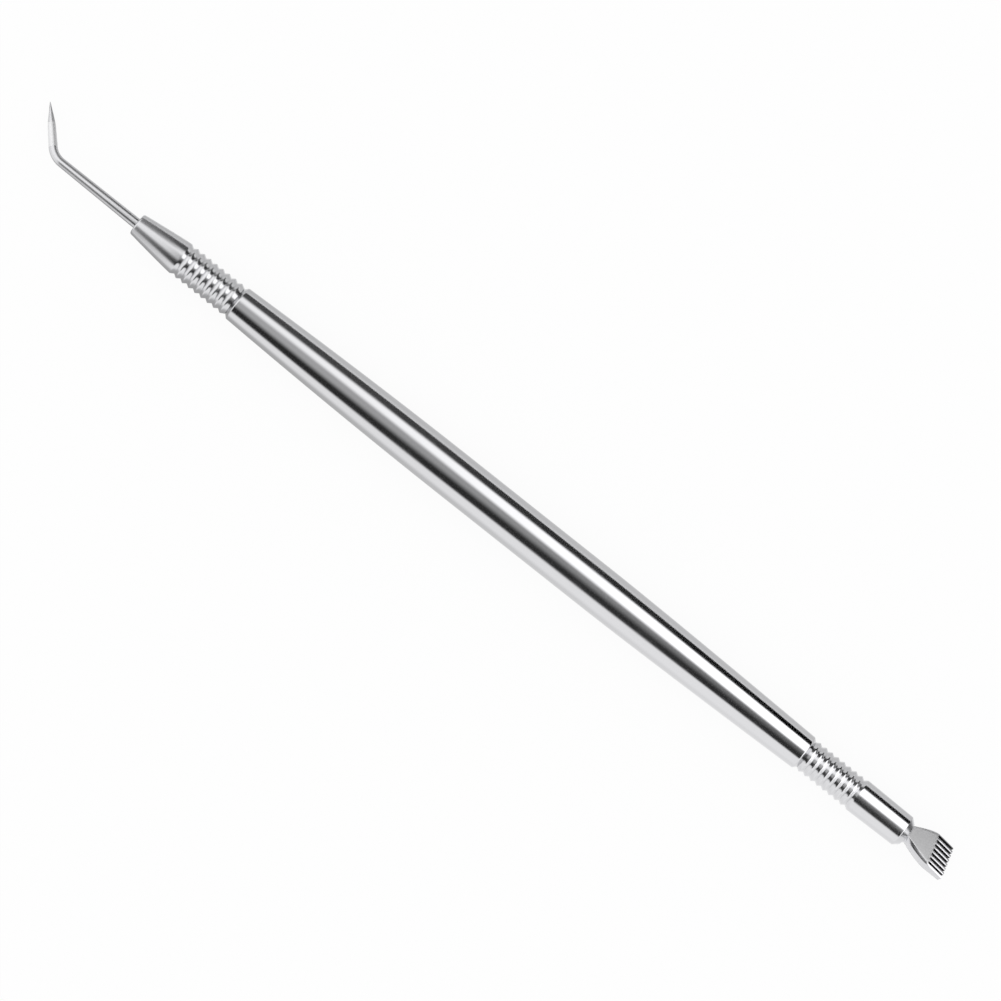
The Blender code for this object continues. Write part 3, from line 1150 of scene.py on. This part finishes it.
@dataclass
class Studio:
    """The white floor, the light tent, the world and the camera over the tool.

    Only the tool's gloss sees the tent, the panels at its ends and the boards. The world lights the floor.
    """

    tool: Tool
    half_length: float = 0.2
    tent_radius: float = 0.05
    tent_half_angle: float = 100.0
    tent_strength: tuple[float, float] = (1.2, 1.25)
    turn_over: float = 0.06
    pick_panel: tuple[float, float] = (1.2, 1.4)
    comb_panel: tuple[float, float] = (0.2, 1.4)
    end_blend: float = 15 * MM
    floor_half: float = 2.0
    shadow_share: float = 0.08
    floor_tint: str = "#f2f2f2"
    boards: tuple[Board, ...] = (
        Board("front_board", -1, (0.48, 1.06), (1.12, 1.22), 1.1),
        Board("rear_board", 1, (0.74, 0.92), (0.8, 0.92), 0.2),
    )
    board_gap: float = 3.5 * MM
    board_ramp: float = 26 * MM
    board_end: float = 78 * MM
    board_blend: float = 10 * MM
    board_height: float = 0.1 * MM
    board_crowding: int = 3
    picture_pitch: float = 0.1356 * MM
    camera_height: float = 0.9
    camera_clip: tuple[float, float] = (0.01, 10.0)
    sensor: float = 36.0
    camera_roll: float = math.radians(38.424)
    aim: tuple[float, float] = (-4.456 * MM, 1.228 * MM)
    columns: int = 200
    rows: int = 300

    def comb_share(self, x: float) -> float:
        """How far the light at a place along the tool is like the comb end's, from 0 to 1."""
        return smooth((x / self.turn_over + 1) / 2)

    def glow(self, x: float, angle: float) -> float:
        """The strength of the tent at a place.

        Args:
            x: The place along the tool.
            angle: The angle from straight up in degrees, positive towards +Y.

        Returns:
            The strength of the last card that covers the place, blended at its edges.
        """
        share = self.comb_share(x)
        strength = between(self.tent_strength, share)
        for card in CARDS:
            edges = tuple(between(ends, share) for ends in zip(card.pick_edges, card.comb_edges))
            softness = tuple(between(ends, share) for ends in zip(card.pick_softness, card.comb_softness))
            cover = covered(angle, edges, softness)
            cover *= covered(x, card.span, (card.span_softness, card.span_softness))
            strength += (between((card.pick_strength, card.comb_strength), share) - strength) * cover
        return strength

    def glow_material(self) -> bpy.types.Material:
        """A glowing material whose strength comes from the mesh's own points.

        Returns:
            The material, which isn't sampled as a light.
        """
        material = bpy.data.materials.new("light_card")
        material.use_nodes = True
        material.cycles.emission_sampling = "NONE"
        tree = material.node_tree
        tree.nodes.clear()
        glow = add_node(tree, "ShaderNodeAttribute", {".attribute_name": "glow"}).outputs["Fac"]
        light = add_node(tree, "ShaderNodeEmission", links={"Strength": glow}).outputs["Emission"]
        add_node(tree, "ShaderNodeOutputMaterial", links={"Surface": light})
        return material

    def light(
        self,
        name: str,
        edit: bmesh.types.BMesh,
        strength: Callable[[Vector], float],
        material: bpy.types.Material,
    ) -> None:
        """Make a lamp of a bmesh, which nothing but the tool's gloss sees.

        Args:
            name: The lamp's name.
            edit: Its mesh, which is freed.
            strength: Gives the strength at a place.
            material: The glowing material.
        """
        glow = edit.verts.layers.float.new("glow")
        for vert in edit.verts:
            vert[glow] = strength(vert.co)
        lamp = add_object(edit, name)
        lamp.data.materials.append(material)
        lamp.visible_camera = lamp.visible_diffuse = lamp.visible_shadow = False
        lamp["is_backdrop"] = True

    def tent_glow(self, place: Vector) -> float:
        """The strength of the tent at a point of its mesh."""
        beyond = place - self.tool.centre
        return self.glow(beyond.x, math.degrees(math.atan2(beyond.y, beyond.z)))

    def tent(self, material: bpy.types.Material) -> None:
        """Bend a grid over the tool as its light tent, and close its ends with panels graded across.

        Args:
            material: The glowing material.
        """
        edit = bmesh.new()
        bmesh.ops.create_grid(edit, x_segments=self.columns, y_segments=self.rows, size=1)
        for vert in edit.verts:
            angle = math.radians(vert.co.y * self.tent_half_angle)
            x = vert.co.x * self.half_length
            vert.co = Vector((x, self.tent_radius * math.sin(angle), self.tent_radius * math.cos(angle)))
            vert.co += self.tool.centre
        self.light("light_tent", edit, self.tent_glow, material)
        LOG.info("light tent: %s", ", ".join(card.name for card in CARDS))
        upright = Matrix.Rotation(QUARTER_TURN, 4, "Y")
        for end, strengths in ((End.PICK, self.pick_panel), (End.COMB, self.comb_panel)):

            def strength(co: Vector, strengths: tuple[float, float] = strengths) -> float:
                """Grade the panel from its front to its rear."""
                return between(strengths, smooth(co.y / self.end_blend + 0.5))

            edit = bmesh.new()
            place = Matrix.Translation((end.value * self.half_length, 0, 0)) @ upright
            bmesh.ops.create_grid(
                edit, x_segments=1, y_segments=self.columns, size=self.tent_radius, matrix=place
            )
            self.light(f"{end.name.lower()}_panel", edit, strength, material)

    def lay_boards(self, material: bpy.types.Material) -> None:
        """Lay a reflector on the floor at each side of the tool, with its points closest beside the tool.

        Args:
            material: The glowing material.
        """
        for board in self.boards:

            def strength(co: Vector, board: Board = board) -> float:
                """Grade the board outwards from the tool and along it."""
                share = self.comb_share(co.x)
                strengths = zip(board.pick_strengths, board.comb_strengths)
                levels = tuple(between(ends, share) for ends in strengths)
                level = between(levels, smooth((abs(co.y) - self.board_gap) / self.board_ramp))
                past = smooth((abs(co.x) - self.board_end) / self.board_blend + 0.5)
                return between((level, board.beyond), past)

            edit = bmesh.new()
            bmesh.ops.create_grid(edit, x_segments=self.columns, y_segments=self.columns, size=1)
            for vert in edit.verts:
                out = ((vert.co.y + 1) / 2) ** self.board_crowding
                y = self.board_gap + (self.tent_radius - self.board_gap) * out
                vert.co = Vector((vert.co.x * self.half_length, board.side * y, self.board_height))
            self.light(board.name, edit, strength, material)

    def seen(self, tree: bpy.types.NodeTree) -> bpy.types.NodeSocket:
        """Whether a ray comes from the camera, a gloss or a glass.

        Args:
            tree: The tree of the floor's material.

        Returns:
            The socket that gives 0 or 1.
        """
        path = add_node(tree, "ShaderNodeLightPath").outputs
        either = add_node(
            tree,
            "ShaderNodeMath",
            {".operation": "MAXIMUM"},
            {0: path["Is Camera Ray"], 1: path["Is Glossy Ray"]},
        ).outputs["Value"]
        return add_node(
            tree, "ShaderNodeMath", {".operation": "MAXIMUM"}, {0: either, 1: path["Is Transmission Ray"]}
        ).outputs["Value"]

    def floor(self) -> None:
        """Lay a white floor that the camera sees as white, apart from the tool's faint shadow."""
        material = bpy.data.materials.new("white_floor")
        material.use_nodes = True
        tree = material.node_tree
        tree.nodes.clear()
        lit = add_node(tree, "ShaderNodeBsdfDiffuse", {"Color": linear(self.floor_tint)}).outputs["BSDF"]
        white = add_node(tree, "ShaderNodeEmission", {"Strength": 1.0}).outputs["Emission"]
        share = add_node(
            tree,
            "ShaderNodeMath",
            {".operation": "MULTIPLY", 1: 1 - self.shadow_share},
            {0: self.seen(tree)},
        ).outputs["Value"]
        mixed = add_node(tree, "ShaderNodeMixShader", links={0: share, 1: lit, 2: white}).outputs["Shader"]
        add_node(tree, "ShaderNodeOutputMaterial", links={"Surface": mixed})
        edit = bmesh.new()
        bmesh.ops.create_grid(edit, x_segments=1, y_segments=1, size=self.floor_half)
        floor = add_object(edit, "floor")
        floor.data.materials.append(material)
        floor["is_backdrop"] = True

    def world(self) -> None:
        """Make a plain white world, which lights the floor and the rest of the scene softly."""
        world = bpy.data.worlds.new("white_world")
        bpy.context.scene.world = world
        world.use_nodes = True
        back = world.node_tree.nodes["Background"]
        back.inputs["Color"].default_value = (1, 1, 1, 1)
        back.inputs["Strength"].default_value = 1.0

    def camera(self) -> None:
        """Hang a long lens straight above the tool, turned so that the tool runs down to the right."""
        data = bpy.data.cameras.new("camera")
        data.sensor_width = self.sensor
        data.lens = self.sensor * self.camera_height / (PICTURE_PIXELS * self.picture_pitch)
        data.clip_start, data.clip_end = self.camera_clip
        camera = bpy.data.objects.new("camera", data)
        aim = self.tool.centre + Vector((*self.aim, self.camera_height))
        camera.location = aim
        camera.rotation_euler = (0, 0, self.camera_roll)
        bpy.context.scene.collection.objects.link(camera)
        bpy.context.scene.camera = camera

    def build(self) -> None:
        """Set the whole studio up."""
        material = self.glow_material()
        self.tent(material)
        self.lay_boards(material)
        self.floor()
        self.world()
        self.camera()
        bpy.context.scene.view_settings.view_transform = "Standard"


def write_sizes() -> None:
    """Gather the CAD model's box and the dressed model's box as plain lists."""
    boxes = {"cad": CAD_BOUNDS, "visual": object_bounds()}
    plain = {name: [list(corner) for corner in box] for name, box in boxes.items()}


def main() -> None:
    """Build the tool's pieces and the studio round them."""
    logging.basicConfig(level=logging.INFO, format="%(message)s")
    tool = Tool.from_frame()
    lathe = Lathe()
    barrel = Barrel(tool, lathe)
    pick_ferrule = PickFerrule(tool, lathe, barrel)
    comb_ferrule = CombFerrule(tool, lathe, barrel)
    needle = Needle(tool, lathe, pick_ferrule.mouth)
    comb = Comb(tool, lathe, comb_ferrule.mouth)
    for part in (barrel, pick_ferrule, comb_ferrule, needle, comb):
        part.dress(part.build())
    Studio(tool).build()
    write_sizes()


if __name__ == "__main__":
    main()
